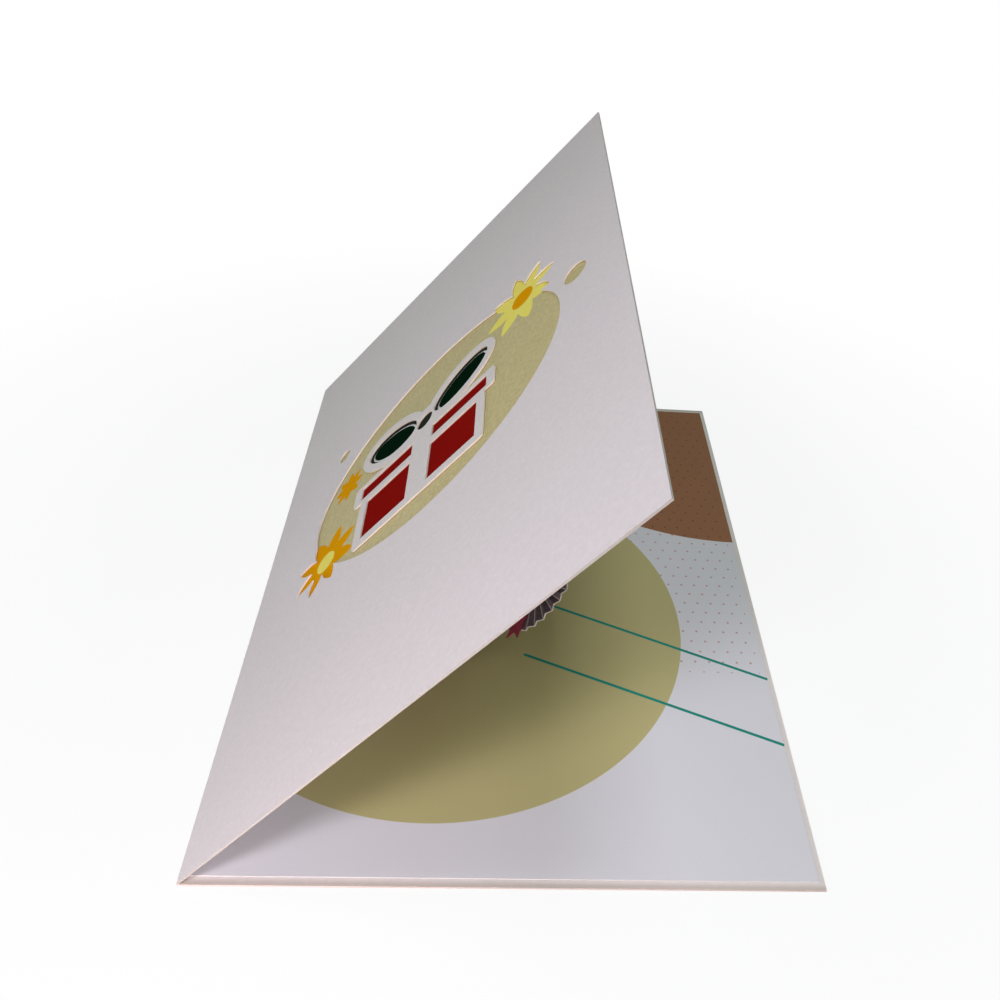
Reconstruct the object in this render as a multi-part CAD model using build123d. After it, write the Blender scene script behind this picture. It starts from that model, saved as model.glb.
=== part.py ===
from build123d import *

import os
from math import cos, pi, radians, sin

# A greeting card, half open on its back panel, with an inlaid cover and a pop-up gift box inside.
# X runs across a panel from the fold to the free edge, Y runs along the fold and Z is up.
# The origin is the middle of the back panel's underside. All sizes are in millimetres.

# The folded card
panel_width = 127.0
panel_height = 178.0
opening_angle = 50.0
card_stock = 0.5
fold_radius = 0.6

# The printed liner, glued inside both panels, with its margins along the fold's ends and the free edges
liner_stock = 0.2
liner_end_margin = 1.8
liner_edge_margin = 1.2
liner_fold_radius = 0.35

# The coloured papers between the cover and the liner
inlay_stock = 0.2
inlay_clearance = 0.06
olive_from_fold = 4.0

# The oval window, placed from the cover's middle, and two small round ones, placed from the oval's middle
window_width = 86.0
window_height = 64.0
window_across = 1.5
window_along = -3.0
dot_windows = [(48.0, 9.0, 7.0), (-39.0, 28.0, 4.4)]

# The gift box in the window, cut from pearl card, with its foot placed from the oval's middle
figure_across = -3.0
figure_along = -24.0
box_width = 44.0
box_height = 18.0
lid_width = 50.0
lid_height = 7.5
corner_radius = 1.2
border = 2.6
band_width = 7.0
loop_length = 25.0
loop_height = 16.0
loop_spread = 12.6
loop_rise = 8.6
loop_tilt = 20.0
knot_radius = 5.4
knot_rise = 4.4

# The papers that show through the figure
paper_inset = 1.2
charcoal_rim = 1.5
pale_line = 0.7

# Daisies with slender petals: name, across and along from the oval's middle, radius, turn
daisy_places = [
    ("yellow_daisy", 30.5, 22.5, 11.8, 10.0),
    ("orange_daisy", -36.5, -17.0, 10.8, 28.0),
    ("small_orange_daisy", -33.5, 9.5, 5.2, 0.0),
]
petals = 8
petal_plumpness = 0.36
daisy_heart = 0.34
daisy_lap = 0.25
eye_lap = 0.5
daisy_eyes = ["yellow_daisy", "orange_daisy"]

# The pop-up box, a strip glued to both panels
popup_depth = 50.0
popup_rise = 36.0
popup_length = 60.0
popup_stock = 0.3
popup_tab = 10.0

# The ribbon round the pop-up box
ribbon_stock = 0.2
ribbon_width = 7.0
ribbon_in = 8.0
ribbon_level = 25.5
ribbon_end_gap = 1.0

# The rosette on the ribbon, with two tails and a button
rosette_radius = 13.0
rosette_hub = 2.2
rosette_stock = 0.3
pleats = 28
pleat_depth = 0.8
tail_stock = 0.2
tail_width = 4.5
tail_notch = 1.6
tail_lengths = [15.0, 18.0]
tail_headings = [213.0, 250.0]
button_radius = 4.0
button_stock = 0.5

# Places that follow from the sizes
angle = radians(opening_angle)
fold_bulge = fold_radius * ((1 + cos(angle)) / sin(angle) - 1)
corner_x = -panel_width / 2 - fold_bulge
near_y = -panel_height / 2
reach = panel_width + fold_bulge
downward = 270.0
outward = 90.0 + opening_angle
halfway = (downward + outward) / 2
paper_depth = card_stock + inlay_stock
lid_top = box_height + lid_height
section_plane = Plane(origin=(corner_x, near_y, 0), x_dir=(1, 0, 0), z_dir=(0, -1, 0))
cover_plane = Plane(
    origin=(corner_x, near_y, 0),
    x_dir=(cos(angle), 0, sin(angle)),
    z_dir=(-sin(angle), 0, cos(angle)),
)


def on_cover(across, depth):
    """A point of the section, across the cover from the sharp corner and in from its outer face."""
    return (across * cos(angle) + depth * sin(angle), across * sin(angle) - depth * cos(angle))


def along_fold(outline, from_near, length):
    """A section carried along the fold, from a distance behind the near edge."""
    placed = section_plane * Pos(0, 0, -from_near) * make_face(outline)
    return extrude(placed, amount=length, dir=(0, 1, 0))


def folded_sheet(above_table, inside_cover, stock, bend_radius, edge_margin, end_margin):
    """A sheet folded once, its outer side at the given distances in from the card's two outer faces."""
    centre_z = above_table + bend_radius
    centre_x = (inside_cover + bend_radius + cos(angle) * centre_z) / sin(angle)

    def on_bend(radius, turn):
        return (centre_x + radius * cos(radians(turn)), centre_z + radius * sin(radians(turn)))

    def bend(radius):
        return ThreePointArc(on_bend(radius, downward), on_bend(radius, halfway), on_bend(radius, outward))

    edge = reach - edge_margin
    outer_bend = bend(bend_radius)
    inner_bend = bend(bend_radius - stock)
    back_edge = Line((edge, above_table + stock), (edge, above_table))
    cover_edge = Line(on_cover(edge, inside_cover), on_cover(edge, inside_cover + stock))
    outline = [
        back_edge,
        Line(back_edge @ 1, outer_bend @ 0),
        outer_bend,
        Line(outer_bend @ 1, cover_edge @ 0),
        cover_edge,
        Line(cover_edge @ 1, inner_bend @ 1),
        inner_bend,
        Line(inner_bend @ 0, back_edge @ 0),
    ]
    return along_fold(outline, end_margin, panel_height - 2 * end_margin)


def through_cover(shape, outer_depth, inner_depth):
    """A flat shape, drawn from the fold and the near edge, carried into the cover between two depths."""
    placed = cover_plane * Pos(fold_bulge, 0, -inner_depth) * shape
    return extrude(placed, amount=inner_depth - outer_depth)


def daisy(across, along, radius, turn):
    """A round heart with slender petals, each between two arcs that meet at the tip."""
    half_width = radius * petal_plumpness / 2
    sides = [ThreePointArc((0, 0), (radius / 2, side * half_width), (radius, 0)) for side in (-1, 1)]
    petal = make_face(sides)
    flower = Circle(radius * daisy_heart)
    for number in range(petals):
        flower = flower + Rot(0, 0, turn + 360 * number / petals) * petal
    return Pos(across, along) * flower


def loop(side, shrink):
    """One loop of the bow, on the left (-1) or the right (1), drawn in by a distance all round."""
    oval = Ellipse(loop_length / 2 - shrink, loop_height / 2 - shrink)
    return Pos(side * loop_spread, lid_top + loop_rise) * Rot(0, 0, side * loop_tilt) * oval


def knot(shrink):
    """The round knot of the bow."""
    return Pos(0, lid_top + knot_rise) * Circle(knot_radius - shrink)


def bow(shrink):
    """Both loops and the knot, as one outline."""
    return loop(-1, shrink) + loop(1, shrink) + knot(shrink)


def panel(left, right, bottom, top):
    """A rectangle between two widths and two heights."""
    return Pos((left + right) / 2, (bottom + top) / 2) * Rectangle(right - left, top - bottom)


window_place = Pos(panel_width / 2 + window_across, panel_height / 2 + window_along)
figure_place = window_place * Pos(figure_across, figure_along)
box_outline = Pos(0, box_height / 2) * RectangleRounded(box_width, box_height, corner_radius)
lid_outline = Pos(0, box_height + lid_height / 2) * RectangleRounded(lid_width, lid_height, corner_radius)
lid_seat = panel(-box_width / 2 + border, box_width / 2 - border, box_height - border, box_height + border)
bow_seat = panel(-loop_spread, loop_spread, box_height + lid_height / 2, lid_top + loop_rise / 2)
figure_outline = box_outline + lid_outline + lid_seat + bow(0) + bow_seat

figure_windows = [
    panel(-box_width / 2 + border, -band_width / 2, border, box_height - border / 2),
    panel(band_width / 2, box_width / 2 - border, border, box_height - border / 2),
    panel(-lid_width / 2 + border, -band_width / 2, box_height + border / 2, lid_top - border / 2),
    panel(band_width / 2, lid_width / 2 - border, box_height + border / 2, lid_top - border / 2),
    loop(-1, border),
    loop(1, border),
    knot(border),
]

red_shape = offset(box_outline + lid_outline + lid_seat, -paper_inset)
green_inset = border + charcoal_rim
green_loops = {"green_left_loop": -1, "green_right_loop": 1}

window = window_place * Ellipse(window_width / 2, window_height / 2)
dots = [window_place * Pos(across, along) * Circle(size / 2) for across, along, size in dot_windows]
daisies = {name: window_place * daisy(*place) for name, *place in daisy_places}
eyes = {
    name: window_place * Pos(across, along) * Circle(radius * daisy_heart - eye_lap)
    for name, across, along, radius, _ in daisy_places
    if name in daisy_eyes
}


def make_outer_card():
    """The folded card with its window, its two round windows and the slots of the daisies."""
    card = folded_sheet(0, 0, card_stock, fold_radius, 0, 0)
    for opening in [window, *dots, *daisies.values()]:
        card = card - through_cover(opening, -card_stock, card_stock)
    return card


def make_white_figure():
    """The gift box, an island of pearl card on the olive paper."""
    figure = figure_outline
    for opening in figure_windows:
        figure = figure - opening
    return through_cover(figure_place * figure, 0, card_stock)


def make_inlays():
    """The coloured papers, all in one layer, each let into its own opening in the olive sheet."""
    shapes = {"red_inlay": figure_place * red_shape}
    charcoal = bow(paper_inset) - offset(red_shape, inlay_clearance)
    for name, side in green_loops.items():
        charcoal = charcoal - loop(side, green_inset - pale_line)
        shapes[name] = figure_place * loop(side, green_inset)
    shapes["charcoal_inlay"] = figure_place * charcoal
    for name, shape in daisies.items():
        shapes[name] = offset(shape, daisy_lap)
    olive_right = panel_width - liner_edge_margin
    olive = panel(olive_from_fold, olive_right, liner_end_margin, panel_height - liner_end_margin)
    for name in ["red_inlay", *daisies]:
        olive = olive - offset(shapes[name], inlay_clearance)
    shapes["olive_sheet"] = olive - figure_place * bow(paper_inset - inlay_clearance)
    for name, eye in eyes.items():
        shapes[name] = shapes[name] - offset(eye, inlay_clearance)
        shapes[name + "_eye"] = eye
    return {name: through_cover(shape, card_stock, paper_depth) for name, shape in shapes.items()}


def make_inner_liner():
    """The printed sheet that lines both panels and covers the backs of the coloured papers."""
    margins = [liner_edge_margin, liner_end_margin]
    return folded_sheet(card_stock, paper_depth, liner_stock, liner_fold_radius, *margins)


# The inside of the card, where the pop-up is glued: the corner between the liner's two faces
floor_height = card_stock + liner_stock
cover_depth = paper_depth + liner_stock
inner_corner_x = (cover_depth + cos(angle) * floor_height) / sin(angle)
popup_near = (panel_height - popup_length) / 2
ribbon_from_near = popup_near + ribbon_in


def on_walls(along_floor, along_cover):
    """A point of the section, along the floor and then parallel to the cover, from the inside corner."""
    return (
        inner_corner_x + along_floor + along_cover * cos(angle),
        floor_height + along_cover * sin(angle),
    )


def beside(points, distance):
    """The line that runs beside a line of points, to its left, with mitred corners."""
    vectors = [Vector(*point) for point in points]
    steps = [(b - a).normalized() for a, b in zip(vectors, vectors[1:])]
    lefts = [Vector(-step.Y, step.X) for step in steps]
    before = [lefts[0], *lefts]
    after = [*lefts, lefts[-1]]
    return [
        point + (one + two) * (distance / (1 + one.dot(two)))
        for point, one, two in zip(vectors, before, after)
    ]


def strip(points, distance, from_near, length):
    """A strip of paper that follows the points, with its thickness to their left."""
    line = [Vector(*point) for point in points]
    other_side = beside(points, distance)
    outline = Polyline(*line, *reversed(other_side), close=True)
    return along_fold(outline, from_near, length)


# The front wall of the pop-up box, which stands parallel to the cover: along the fold, up the wall and out
wall_foot = on_walls(popup_depth, 0)
wall_plane = Plane(
    origin=(corner_x + wall_foot[0], near_y, wall_foot[1]),
    x_dir=(0, 1, 0),
    z_dir=(sin(angle), 0, -cos(angle)),
)


def make_popup_box():
    """One strip: a tab on the floor, the front wall, the top and a tab on the cover."""
    line = [
        on_walls(popup_depth - popup_tab, 0),
        on_walls(popup_depth, 0),
        on_walls(popup_depth, popup_rise),
        on_walls(0, popup_rise),
        on_walls(0, popup_rise - popup_tab),
    ]
    return strip(line, popup_stock, popup_near, popup_length)


def make_popup_ribbon():
    """A cross of ribbon: one arm over the wall and the top, one along the wall."""
    line = [
        on_walls(popup_depth, ribbon_end_gap),
        on_walls(popup_depth, popup_rise),
        on_walls(ribbon_end_gap, popup_rise),
    ]
    upright = strip(line, -ribbon_stock, ribbon_from_near - ribbon_width / 2, ribbon_width)
    lower = ribbon_level - ribbon_width / 2
    level = panel(popup_near, popup_near + popup_length, lower, lower + ribbon_width)
    return upright + extrude(wall_plane * level, amount=ribbon_stock)


rosette_place = wall_plane * Pos(ribbon_from_near, ribbon_level, ribbon_stock)


def make_rosette_tails():
    """Two ribbon ends with notched tips, which spread from under the rosette."""
    shape = Circle(tail_width / 2)
    half = tail_width / 2
    for length, heading in zip(tail_lengths, tail_headings):
        corners = [(0, -half), (length, -half), (length - tail_notch, 0), (length, half), (0, half)]
        shape = shape + Rot(0, 0, heading) * make_face(Polyline(corners, close=True))
    return extrude(rosette_place * shape, amount=tail_stock)


def make_popup_rosette():
    """A disc of pleated paper, its pleats as deep as they are wide from the hub out."""
    pieces = []
    half_pleat = pi / pleats

    def corner(number, radius):
        height = pleat_depth * radius / rosette_radius * (number % 2)
        return (radius * cos(number * half_pleat), radius * sin(number * half_pleat), height)

    for number in range(2 * pleats):
        side = [
            corner(number, rosette_hub),
            corner(number, rosette_radius),
            corner(number + 1, rosette_radius),
            corner(number + 1, rosette_hub),
        ]
        pieces.append(extrude(make_face(Polyline(side, close=True)), amount=rosette_stock, dir=(0, 0, 1)))
    return rosette_place * Pos(0, 0, tail_stock) * (Part() + pieces)


def make_rosette_button():
    """The round button that closes the rosette's hub, resting on the pleats' ridges."""
    seat = tail_stock + pleat_depth * button_radius / rosette_radius + rosette_stock
    return extrude(rosette_place * Pos(0, 0, seat) * Circle(button_radius), amount=button_stock)


nodes = {
    "outer_card": make_outer_card(),
    "white_figure": make_white_figure(),
    "inner_liner": make_inner_liner(),
    "popup_box": make_popup_box(),
    "popup_ribbon": make_popup_ribbon(),
    "rosette_tails": make_rosette_tails(),
    "popup_rosette": make_popup_rosette(),
    "rosette_button": make_rosette_button(),
}
nodes.update(make_inlays())

os.makedirs("parts", exist_ok=True)
for node_name, solid in nodes.items():
    export_step(solid, f"parts/{node_name}.step")
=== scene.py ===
from math import cos, pi, radians, sin

import bpy
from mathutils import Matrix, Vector


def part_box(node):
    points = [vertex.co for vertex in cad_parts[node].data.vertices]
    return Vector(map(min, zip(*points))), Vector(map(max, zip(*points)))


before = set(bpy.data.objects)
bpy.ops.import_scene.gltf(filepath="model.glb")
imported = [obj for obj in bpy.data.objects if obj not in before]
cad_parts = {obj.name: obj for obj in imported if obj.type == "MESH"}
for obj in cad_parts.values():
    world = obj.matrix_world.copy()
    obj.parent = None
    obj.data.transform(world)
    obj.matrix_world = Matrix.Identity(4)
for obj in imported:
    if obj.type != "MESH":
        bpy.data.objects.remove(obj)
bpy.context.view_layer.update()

bpy.ops.object.select_all(action="DESELECT")

# The papers' patterns are drawn in millimetres, and MM is how many go to a metre
MM = 1000.0

# The card's own sizes, in millimetres. Without the round fold its two outer faces would meet at a corner,
# which lies fold_bulge further out.
opening = radians(50.0)
fold_radius = 0.6
card_stock = 0.5
liner_edge_margin = 1.2
fold_bulge = fold_radius * ((1 + cos(opening)) / sin(opening) - 1)
card_low, card_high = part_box("outer_card")
fold_x = card_low[0] * MM
near_y = card_low[1] * MM
corner_x = fold_x - fold_bulge
panel_width = (card_high[0] - card_low[0]) * MM
panel_height = (card_high[1] - card_low[1]) * MM
cover_across = Vector((cos(opening), 0, sin(opening)))
cover_out = Vector((-sin(opening), 0, cos(opening)))

# A face is flat if it looks out of its panel this much, and an end face if it looks along the fold that much
flat_facing = 0.9
side_facing = 0.5

# The bend reaches this far from the fold, and a panel's own edges lie this near its ends
bend_reach = 2.0
edge_band = 0.3

# The bare rim inside is darkened with painted shade between these distances from the fold's ends
rim_shade_starts = 1.4
rim_shade_full = 0.5

# The laser's scorch shows between these depths of a cut
scorch_starts = 0.62 * card_stock
scorch_full = 0.95 * card_stock

# The print inside, in millimetres across from the fold and along from the near edge
print_softness = 0.07
olive_disc_middle = (46.0, 74.0)
olive_disc_radius = 60.0
brown_disc_middle = (panel_width, panel_height)
brown_disc_radius = 70.0
dots_across = (70.0, 124.25)
dots_along = (57.75, 173.25)
dot_pitch = 3.5
dot_size = 0.62
liner_edge = panel_width - liner_edge_margin
upper_stripe = ((72.0, 80.0), (liner_edge, 56.0))
lower_stripe = ((66.0, 62.0), (liner_edge, 36.0))
stripe_width = 0.8

# The rosette's pleats, which run out from the middle of its button
pleats = 28
rosette_radius = 13.0
button_low, button_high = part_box("rosette_button")
rosette_middle = (Vector(button_low) + Vector(button_high)) / 2

# The pale lines begin this far from a ridge or from the rim, and are full this near to it
ridge_line_reach = (0.17, 0.07)
rim_line_reach = (0.22, 0.08)

# Soft square lamps: name, place, target and size in metres, watts, colour
lamps = [
    ("key_lamp", (-0.189, -0.327, 0.348), (0, 0, 0.02), 0.10, 0.92, (250, 246, 255)),
    ("top_lamp", (0.011, -0.060, 0.516), (0, 0, 0.02), 0.12, 0.68, (242, 246, 255)),
    ("front_lamp", (-0.075, -0.206, 0.043), (-0.02, -0.05, 0.02), 0.06, 0.125, (255, 236, 242)),
    ("right_lamp", (0.28, -0.15, 0.10), (0.02, -0.02, 0.01), 0.15, 0.09, (255, 252, 255)),
    ("back_lamp", (0.45, 0.60, 0.50), (0, 0, 0.03), 0.5, 0.9, (226, 255, 246)),
]
room_colour = (226, 255, 210)
room_level = 0.11

# The floor is this share white near the card, and turns to plain white between two distances from the middle
floor_size = 8.0
floor_white_near = 0.86
floor_fade = (0.10, 0.22)

# The photograph's camera: its place in metres, its turns in degrees and its lens in millimetres
camera_place = (-0.0074, -0.1999, 0.1821)
camera_turns = (53.562, -5.072, -2.513)
camera_lens = 36.265
camera_shift = (-0.08, -0.02)


def paint(red, green, blue):
    """A colour as it shows on a screen, from 0 to 255, in the linear values that materials use."""
    channels = [value / 255 for value in (red, green, blue)]
    return [v / 12.92 if v <= 0.04045 else ((v + 0.055) / 1.055) ** 2.4 for v in channels] + [1.0]


class Bench:
    """Adds nodes to one node tree. A value given to it is a number, a vector or another node's output."""

    def __init__(self, tree):
        self.tree = tree

    def add(self, kind, **settings):
        node = self.tree.nodes.new("ShaderNode" + kind)
        for name, value in settings.items():
            setattr(node, name, value)
        return node

    def feed(self, socket, value):
        """Links an output to a socket, or sets the socket's own value."""
        if isinstance(value, bpy.types.NodeSocket):
            self.tree.links.new(value, socket)
        else:
            socket.default_value = value

    def feed_all(self, node, *values):
        """Feeds a node's sockets in their order and returns its first output."""
        sockets = [socket for socket in node.inputs if socket.enabled]
        for socket, value in zip(sockets, values):
            self.feed(socket, value)
        return next(socket for socket in node.outputs if socket.enabled)

    def maths(self, operation, *values):
        return self.feed_all(self.add("Math", operation=operation), *values)

    def minus(self, value, amount):
        return self.maths("SUBTRACT", value, amount)

    def unsigned(self, value):
        """A value without its sign."""
        return self.maths("ABSOLUTE", value)

    def above(self, value, limit):
        return self.maths("GREATER_THAN", value, limit)

    def below(self, value, limit):
        return self.maths("LESS_THAN", value, limit)

    def both(self, first, second):
        return self.maths("MULTIPLY", first, second)

    def either(self, first, second):
        return self.maths("MAXIMUM", first, second)

    def without(self, mask):
        return self.minus(1.0, mask)

    def within(self, value, low, high):
        return self.both(self.above(value, low), self.below(value, high))

    def between(self, value, low, high, out_low=0.0, out_high=1.0):
        """Carries a value from one range to another, held at both ends."""
        return self.feed_all(self.add("MapRange"), value, low, high, out_low, out_high)

    def join(self, x, y, z=0.0):
        return self.feed_all(self.add("CombineXYZ"), x, y, z)

    def dot(self, vector, direction):
        node = self.add("VectorMath", operation="DOT_PRODUCT")
        self.feed_all(node, vector, direction)
        return node.outputs["Value"]

    def length(self, vector):
        node = self.add("VectorMath", operation="LENGTH")
        self.feed_all(node, vector)
        return node.outputs["Value"]

    def spot(self):
        """The place of a point on its object, in metres."""
        return self.add("TexCoord").outputs["Object"]

    def noise(self, place, scale, detail):
        return self.feed_all(self.add("TexNoise"), place, scale, detail)

    def cells(self, place, scale):
        return self.feed_all(self.add("TexVoronoi"), place, scale)

    def mix(self, amount, first, second, blend_type="MIX"):
        """Mixes two colours."""
        return self.feed_all(self.add("Mix", data_type="RGBA", blend_type=blend_type), amount, first, second)

    def blend(self, amount, first, second):
        """Mixes two numbers."""
        return self.feed_all(self.add("Mix", data_type="FLOAT"), amount, first, second)

    def mix_shaders(self, amount, first, second):
        return self.feed_all(self.add("MixShader"), amount, first.outputs[0], second.outputs[0])


def shared_group(name, inputs, outputs):
    """An empty node group with number sockets, its bench, and the sockets at its two ends."""
    tree = bpy.data.node_groups.new(name, "ShaderNodeTree")
    for label, value in inputs.items():
        socket = tree.interface.new_socket(label, in_out="INPUT", socket_type="NodeSocketFloat")
        socket.default_value = value
    for label in outputs:
        tree.interface.new_socket(label, in_out="OUTPUT", socket_type="NodeSocketFloat")
    start = tree.nodes.new("NodeGroupInput")
    end = tree.nodes.new("NodeGroupOutput")
    return Bench(tree), start.outputs, end.inputs


def make_card_place():
    """Where a point lies on its panel: from the fold, from the near edge, and in from the outer face.

    A point belongs to the panel whose outer face is the nearer one.
    """
    outputs = ["Across", "Along", "Depth", "Cover", "Cut", "Inside"]
    bench, _, ends = shared_group("card_place", {}, outputs)
    spot = bench.spot()
    axes = [(1, 0, 0), (0, 1, 0), (0, 0, 1)]
    x, y, z = [bench.maths("MULTIPLY", bench.dot(spot, axis), MM) for axis in axes]
    from_corner = bench.join(bench.minus(x, corner_x), 0.0, z)
    cover_depth = bench.maths("MULTIPLY", bench.dot(from_corner, cover_out), -1.0)
    on_cover = bench.below(cover_depth, z)
    up_cover = bench.minus(bench.dot(from_corner, cover_across), fold_bulge)
    across = bench.blend(on_cover, bench.minus(x, fold_x), up_cover)

    facing = bench.add("NewGeometry").outputs["True Normal"]
    up = bench.dot(facing, (0, 0, 1))
    out = bench.dot(facing, cover_out)
    sideways = bench.unsigned(bench.dot(facing, (0, 1, 0)))
    flat = bench.either(bench.unsigned(up), bench.unsigned(out))
    past_bend = bench.either(bench.above(across, bend_reach), bench.above(sideways, side_facing))

    bench.feed(ends["Across"], across)
    bench.feed(ends["Along"], bench.minus(y, near_y))
    bench.feed(ends["Depth"], bench.blend(on_cover, z, cover_depth))
    bench.feed(ends["Cover"], on_cover)
    bench.feed(ends["Cut"], bench.both(bench.below(flat, flat_facing), past_bend))
    bench.feed(ends["Inside"], bench.either(bench.above(up, flat_facing), bench.below(out, -flat_facing)))
    return bench.tree


def make_paper_grain():
    """The grain of a paper, of a size in millimetres: a mottle, bright flecks and the tooth of its face."""
    clouds_to_grain = 20.0
    cloud_share = 0.15
    mottle_range = (0.32, 0.68)
    fleck_reach = (0.30, 0.12)
    bench, starts, ends = shared_group("paper_grain", {"Grain": 0.5}, ["Mottle", "Fleck", "Tooth"])
    spot = bench.spot()
    scale = bench.maths("DIVIDE", MM, starts["Grain"])
    clouds = bench.noise(spot, bench.maths("DIVIDE", scale, clouds_to_grain), detail=2.0)
    speckle = bench.noise(spot, scale, detail=1.0)
    mottle = bench.blend(cloud_share, speckle, clouds)
    bench.feed(ends["Mottle"], bench.between(mottle, *mottle_range))
    bench.feed(ends["Fleck"], bench.between(bench.cells(spot, scale), *fleck_reach))
    bench.feed(ends["Tooth"], speckle)
    return bench.tree


card_place = make_card_place()
paper_grain = make_paper_grain()


def start_material(name):
    """A new material with its bench and its one shader."""
    material = bpy.data.materials.new(name)
    material.use_nodes = True
    return material, Bench(material.node_tree), material.node_tree.nodes["Principled BSDF"]


def use_group(bench, tree, **values):
    """Places a shared group with its own values and returns its outputs."""
    node = bench.add("Group", node_tree=tree)
    for name, value in values.items():
        node.inputs[name].default_value = value
    return node.outputs


def press_tooth(bench, shader, height, depth_mm):
    """Gives a shader the relief of a height, as deep as stated."""
    bump = bench.add("Bump")
    bump.inputs["Strength"].default_value = 1.0
    bump.inputs["Distance"].default_value = depth_mm / MM
    bench.feed(bump.inputs["Height"], height)
    bench.feed(shader.inputs["Normal"], bump.outputs["Normal"])


def find_edges(bench, place):
    """Masks of pearl card: the bare rim at the fold's ends, where shade is painted, the scorched cuts, and
    the foot of a cut.
    """
    off_middle = bench.unsigned(bench.minus(place["Along"], panel_height / 2))
    to_end = panel_height / 2
    near_end = bench.between(off_middle, to_end - rim_shade_starts, to_end - rim_shade_full)
    rim = bench.both(place["Inside"], near_end)
    free_edge = bench.above(place["Across"], panel_width - edge_band)
    end_edge = bench.above(off_middle, to_end - edge_band)
    scorched = bench.both(place["Cut"], bench.without(bench.either(free_edge, end_edge)))
    foot = bench.between(place["Depth"], scorch_starts, scorch_full)
    return rim, scorched, bench.both(scorched, foot)


def pearl_card(name, face, inner_face):
    """Thick pearl card: flecked faces, a warmer inner side, cream inner cuts with a scorched line at their
    foot, outer cut faces painted darker as shade, and painted shade on the bare rim inside near its ends.
    """
    fleck_colour = paint(255, 252, 250)
    # Painted shade for the bare rim inside near the card's ends
    rim_shade_colour = paint(196, 178, 168)
    # The outer cut faces are painted darker than the cream cuts, as shade, and darker still on the cover
    back_edge_painted_shade = paint(224, 205, 196)
    cover_edge_painted_shade = paint(192, 183, 177)
    cut_colour = paint(238, 224, 211)
    scorch_colour = paint(120, 78, 48)
    material, bench, shader = start_material(name)
    place = use_group(bench, card_place)
    grain = use_group(bench, paper_grain, Grain=1.2)
    rim, scorched, scorched_foot = find_edges(bench, place)

    colour = bench.mix(place["Inside"], paint(*face), paint(*inner_face))
    shade = bench.between(grain["Mottle"], 0.0, 1.0, 0.975, 1.02)
    colour = bench.mix(1.0, colour, bench.join(shade, shade, shade), "MULTIPLY")
    colour = bench.mix(bench.both(grain["Fleck"], 0.14), colour, fleck_colour)
    # Painted shade darkens the bare rim inside near the card's ends
    colour = bench.mix(bench.both(rim, 0.6), colour, rim_shade_colour)
    # Painted shade on the outer cut faces, darker on the cover
    outer_edge_painted_shade = bench.mix(place["Cover"], back_edge_painted_shade, cover_edge_painted_shade)
    colour = bench.mix(place["Cut"], colour, outer_edge_painted_shade)
    colour = bench.mix(scorched, colour, cut_colour)
    colour = bench.mix(scorched_foot, colour, scorch_colour)
    bench.feed(shader.inputs["Base Color"], colour)

    rough = bench.between(grain["Fleck"], 0.0, 1.0, 0.52, 0.42)
    bench.feed(shader.inputs["Roughness"], bench.blend(place["Cut"], rough, 0.85))
    shader.inputs["Specular IOR Level"].default_value = 0.3
    press_tooth(bench, shader, grain["Tooth"], 0.004)
    return material


def print_disc(bench, across, along, middle, radius):
    """A printed disc."""
    offset = bench.join(bench.minus(across, middle[0]), bench.minus(along, middle[1]))
    return bench.between(bench.length(offset), radius + print_softness, radius - print_softness)


def print_stripe(bench, across, along, start, end):
    """A printed stripe with square ends."""
    run = Vector(end) - Vector(start)
    heading = run.normalized()
    offset = bench.join(bench.minus(across, start[0]), bench.minus(along, start[1]))
    forward = bench.dot(offset, (heading.x, heading.y, 0))
    beside = bench.unsigned(bench.dot(offset, (-heading.y, heading.x, 0)))
    half = stripe_width / 2
    line = bench.between(beside, half + print_softness, half - print_softness)
    return bench.both(line, bench.within(forward, 0.0, run.length))


def print_dots(bench, across, along):
    """Printed dots in rows, each second row moved along by half a pitch."""
    row = bench.maths("DIVIDE", along, dot_pitch)
    odd = bench.maths("FLOORED_MODULO", bench.maths("FLOOR", row), 2.0)
    half_step = bench.maths("MULTIPLY", odd, 0.5)
    column = bench.maths("ADD", bench.maths("DIVIDE", across, dot_pitch), half_step)
    offset = bench.join(*[bench.minus(bench.maths("FRACT", value), 0.5) for value in (column, row)])
    outer = (dot_size / 2 + print_softness) / dot_pitch
    inner = (dot_size / 2 - print_softness) / dot_pitch
    round_dot = bench.between(bench.length(offset), outer, inner)
    in_field = bench.both(bench.within(across, *dots_across), bench.within(along, *dots_along))
    return bench.both(round_dot, in_field)


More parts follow.
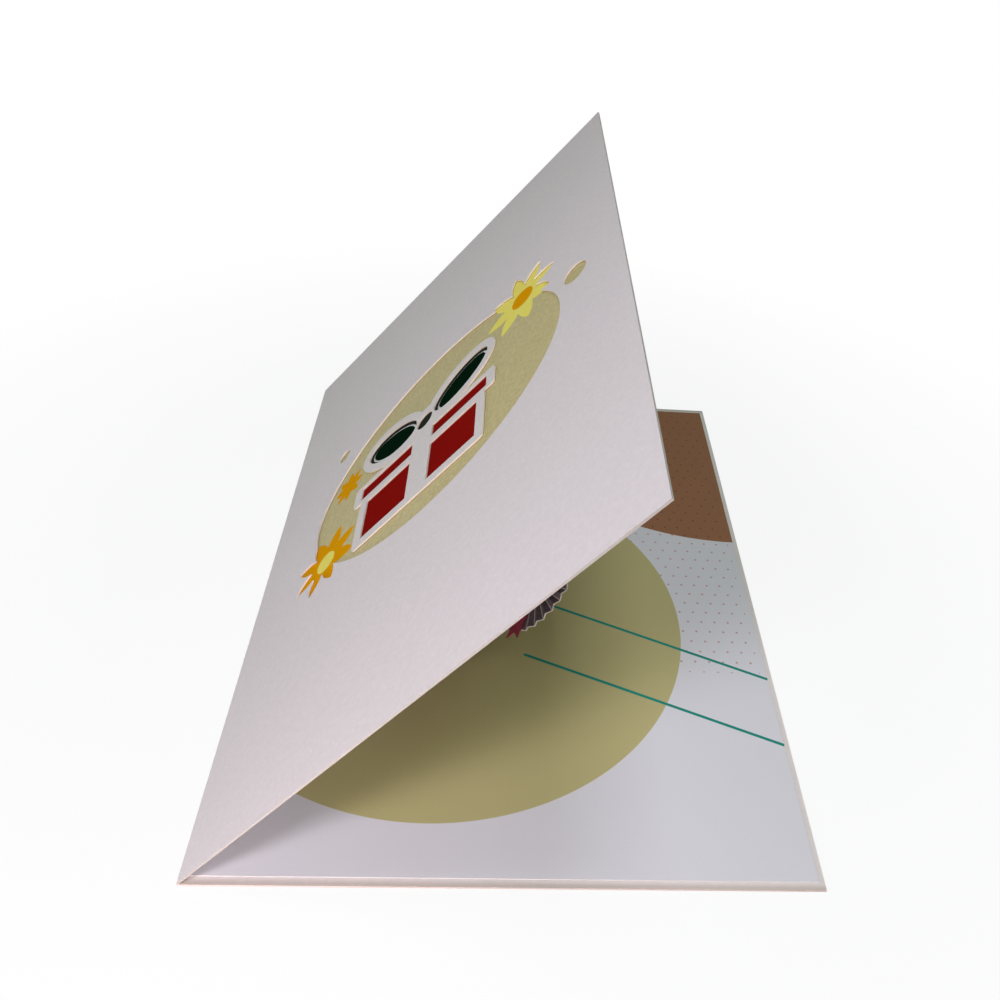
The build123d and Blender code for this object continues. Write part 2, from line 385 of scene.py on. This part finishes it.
def printed_liner():
    """Smooth paper with its print: a large olive disc, a brown quarter disc, rose dots and teal stripes."""
    ground = [paint(227, 223, 229), paint(229, 225, 231)]
    olive_ink = [paint(193, 181, 129), paint(197, 185, 133)]
    rose_ink = paint(206, 158, 158)
    brown_ink = paint(159, 108, 77)
    rose_on_brown = paint(104, 50, 38)
    teal_ink = paint(22, 142, 126)
    cut_colour = paint(238, 236, 236)
    material, bench, shader = start_material("printed_liner")
    place = use_group(bench, card_place)
    grain = use_group(bench, paper_grain, Grain=0.35)

    # The print runs on over the fold, so on the cover it is measured the other way from the fold
    side = bench.between(place["Cover"], 0.0, 1.0, 1.0, -1.0)
    flat_place = (bench.both(place["Across"], side), place["Along"])
    dots = print_dots(bench, *flat_place)
    olive_disc = print_disc(bench, *flat_place, olive_disc_middle, olive_disc_radius)
    brown_disc = print_disc(bench, *flat_place, brown_disc_middle, brown_disc_radius)
    upper, lower = [print_stripe(bench, *flat_place, *ends) for ends in (upper_stripe, lower_stripe)]

    colour = bench.mix(dots, bench.mix(grain["Mottle"], *ground), rose_ink)
    colour = bench.mix(olive_disc, colour, bench.mix(grain["Mottle"], *olive_ink))
    colour = bench.mix(brown_disc, colour, brown_ink)
    colour = bench.mix(bench.both(bench.both(dots, brown_disc), 0.6), colour, rose_on_brown)
    colour = bench.mix(bench.either(upper, lower), colour, teal_ink)
    colour = bench.mix(place["Cut"], colour, cut_colour)
    bench.feed(shader.inputs["Base Color"], colour)

    bench.feed(shader.inputs["Roughness"], bench.between(grain["Mottle"], 0.0, 1.0, 0.42, 0.52))
    shader.inputs["Specular IOR Level"].default_value = 0.15
    press_tooth(bench, shader, grain["Tooth"], 0.002)
    return material


def pearl_paper(name, dark, light, flecks):
    """Coloured pearl paper, with a grain of two tones and small, slightly metallic flecks."""
    material, bench, shader = start_material(name)
    grain = use_group(bench, paper_grain, Grain=0.9)
    colour = bench.mix(grain["Mottle"], paint(*dark), paint(*light))
    colour = bench.mix(bench.both(grain["Fleck"], 0.25), colour, paint(*flecks))
    bench.feed(shader.inputs["Base Color"], colour)
    bench.feed(shader.inputs["Roughness"], bench.between(grain["Fleck"], 0.0, 1.0, 0.55, 0.45))
    bench.feed(shader.inputs["Metallic"], bench.both(grain["Fleck"], 0.2))
    press_tooth(bench, shader, grain["Tooth"], 0.007)
    return material


def smooth_paper(name, dark, light):
    """Smooth coloured paper with no shine."""
    material, bench, shader = start_material(name)
    grain = use_group(bench, paper_grain, Grain=0.4)
    bench.feed(shader.inputs["Base Color"], bench.mix(grain["Mottle"], paint(*dark), paint(*light)))
    bench.feed(shader.inputs["Roughness"], bench.between(grain["Mottle"], 0.0, 1.0, 0.5, 0.6))
    shader.inputs["Specular IOR Level"].default_value = 0.0
    press_tooth(bench, shader, grain["Tooth"], 0.004)
    return material


def foil_paper(name, dark, light):
    """Gold-coloured paper with a fine rolled grain and barely a trace of metal."""
    material, bench, shader = start_material(name)
    grain = use_group(bench, paper_grain, Grain=0.3)
    bench.feed(shader.inputs["Base Color"], bench.mix(grain["Mottle"], paint(*dark), paint(*light)))
    bench.feed(shader.inputs["Metallic"], bench.between(grain["Mottle"], 0.0, 1.0, 0.0, 0.06))
    bench.feed(shader.inputs["Roughness"], bench.between(grain["Fleck"], 0.0, 1.0, 0.45, 0.3))
    shader.inputs["Specular IOR Level"].default_value = 0.0
    press_tooth(bench, shader, grain["Tooth"], 0.006)
    return material


def find_pale_lines(bench):
    """A mask of the pleats' ridges and the rosette's rim, where the paper is paler."""
    from_middle = bench.feed_all(bench.add("VectorMath", operation="SUBTRACT"), bench.spot(), rosette_middle)
    axes = [(0, 1, 0), cover_across]
    along, up = [bench.maths("MULTIPLY", bench.dot(from_middle, axis), MM) for axis in axes]
    radius = bench.length(bench.join(along, up))
    turns = bench.maths("MULTIPLY", bench.maths("ARCTAN2", up, along), pleats / (2 * pi))
    off_ridge = bench.unsigned(bench.minus(bench.maths("FRACT", turns), 0.5))
    off_ridge_mm = bench.maths("MULTIPLY", bench.both(off_ridge, radius), 2 * pi / pleats)
    ridge = bench.between(off_ridge_mm, *ridge_line_reach)
    rim = bench.between(radius, *[rosette_radius - wear for wear in rim_line_reach])
    return bench.either(ridge, rim)


def pleated_paper(name, dark, light, line_colour):
    """Dark paper, paler along the ridges of its pleats and at its rim."""
    material, bench, shader = start_material(name)
    grain = use_group(bench, paper_grain, Grain=0.5)
    # Pale lines along the ridges and the rim, their strength following the mottle
    pale_lines = bench.both(find_pale_lines(bench), bench.between(grain["Mottle"], 0.0, 0.5, 0.55, 0.9))
    colour = bench.mix(grain["Mottle"], paint(*dark), paint(*light))
    bench.feed(shader.inputs["Base Color"], bench.mix(pale_lines, colour, paint(*line_colour)))
    bench.feed(shader.inputs["Roughness"], bench.between(pale_lines, 0.0, 1.0, 0.5, 0.75))
    shader.inputs["Specular IOR Level"].default_value = 0.2
    press_tooth(bench, shader, grain["Tooth"], 0.006)
    return material


finishes = {
    "outer_card": pearl_card("pearl_card", (230, 221, 223), (236, 225, 222)),
    "white_figure": pearl_card("pearl_figure", (228, 220, 219), (231, 221, 215)),
    "inner_liner": printed_liner(),
    "olive_sheet": pearl_paper("olive_paper", (195, 181, 127), (211, 197, 144), (234, 224, 184)),
    "red_inlay": smooth_paper("red_paper", (136, 18, 15), (148, 22, 17)),
    "charcoal_inlay": smooth_paper("charcoal_paper", (42, 48, 40), (50, 54, 44)),
    "green_left_loop": smooth_paper("green_paper", (8, 27, 15), (10, 35, 20)),
    "yellow_daisy": foil_paper("yellow_paper", (246, 231, 112), (253, 241, 124)),
    "orange_daisy": foil_paper("orange_paper", (232, 158, 2), (242, 170, 6)),
    "popup_box": pearl_paper("burgundy_card", (122, 22, 30), (136, 28, 36), (168, 76, 84)),
    "popup_ribbon": pearl_paper("taupe_paper", (112, 98, 96), (128, 113, 110), (170, 156, 150)),
    "rosette_tails": pearl_paper("burgundy_ribbon", (146, 46, 66), (160, 56, 76), (190, 110, 124)),
    "popup_rosette": pleated_paper("charcoal_pleats", (88, 80, 84), (108, 97, 99), (206, 196, 184)),
    "rosette_button": pearl_card("cream_button", (232, 226, 218), (232, 226, 218)),
}
cut_from_the_same = {
    "green_right_loop": "green_left_loop",
    "small_orange_daisy": "orange_daisy",
    "yellow_daisy_eye": "orange_daisy",
    "orange_daisy_eye": "yellow_daisy",
}
for node_name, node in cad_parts.items():
    node.data.materials.clear()
    node.data.materials.append(finishes[cut_from_the_same.get(node_name, node_name)])


def lay_floor():
    """A pale floor that keeps the card's shadow and runs out into white."""
    bpy.ops.mesh.primitive_plane_add(size=floor_size, location=(0, 0, 0))
    floor = bpy.context.object
    floor.name = "floor"
    floor.data.name = "floor"
    material, bench, shader = start_material("pale_floor")
    shader.inputs["Base Color"].default_value = paint(248, 248, 248)
    shader.inputs["Roughness"].default_value = 0.9
    shader.inputs["Specular IOR Level"].default_value = 0.0
    white = bench.add("Emission")
    whiteness = bench.between(bench.length(bench.spot()), *floor_fade, floor_white_near, 1.0)
    rays = bench.add("LightPath").outputs
    mirrored = bench.either(rays["Is Glossy Ray"], rays["Is Transmission Ray"])
    seen = bench.either(rays["Is Camera Ray"], mirrored)
    mixed = bench.mix_shaders(bench.both(seen, whiteness), shader, white)
    bench.feed(material.node_tree.nodes["Material Output"].inputs["Surface"], mixed)
    floor.data.materials.append(material)


def light_world():
    """Even light from all round, with white behind the object."""
    world = bpy.data.worlds.new("studio")
    bpy.context.scene.world = world
    world.use_nodes = True
    bench = Bench(world.node_tree)
    room = world.node_tree.nodes["Background"]
    room.inputs["Color"].default_value = paint(*room_colour)
    room.inputs["Strength"].default_value = room_level
    white = bench.add("Background")
    white.inputs["Color"].default_value = (1, 1, 1, 1)
    rays = bench.add("LightPath").outputs
    seen = bench.either(rays["Is Camera Ray"], rays["Is Transmission Ray"])
    mixed = bench.mix_shaders(seen, room, white)
    bench.feed(world.node_tree.nodes["World Output"].inputs["Surface"], mixed)


def hang_lamp(name, place, target, size, watts, colour):
    """A square soft lamp that points at a target."""
    bpy.ops.object.light_add(type="AREA", location=place)
    lamp = bpy.context.object
    lamp.name = name
    lamp.data.size = size
    lamp.data.energy = watts
    lamp.data.color = paint(*colour)[:3]
    lamp.rotation_euler = (Vector(target) - Vector(place)).to_track_quat("-Z", "Y").to_euler()


def set_camera():
    """The photograph's view, from 0.18 m above the table and 0.11 m in front of the card's near edge."""
    bpy.ops.object.camera_add(location=camera_place)
    camera = bpy.context.object
    camera.rotation_euler = [radians(turn) for turn in camera_turns]
    camera.data.sensor_width = 36.0
    camera.data.lens = camera_lens
    camera.data.shift_x, camera.data.shift_y = camera_shift
    camera.data.clip_start = 0.01
    bpy.context.scene.camera = camera


lay_floor()
light_world()
for lamp in lamps:
    hang_lamp(*lamp)
set_camera()

bpy.context.scene.view_settings.view_transform = "Standard"
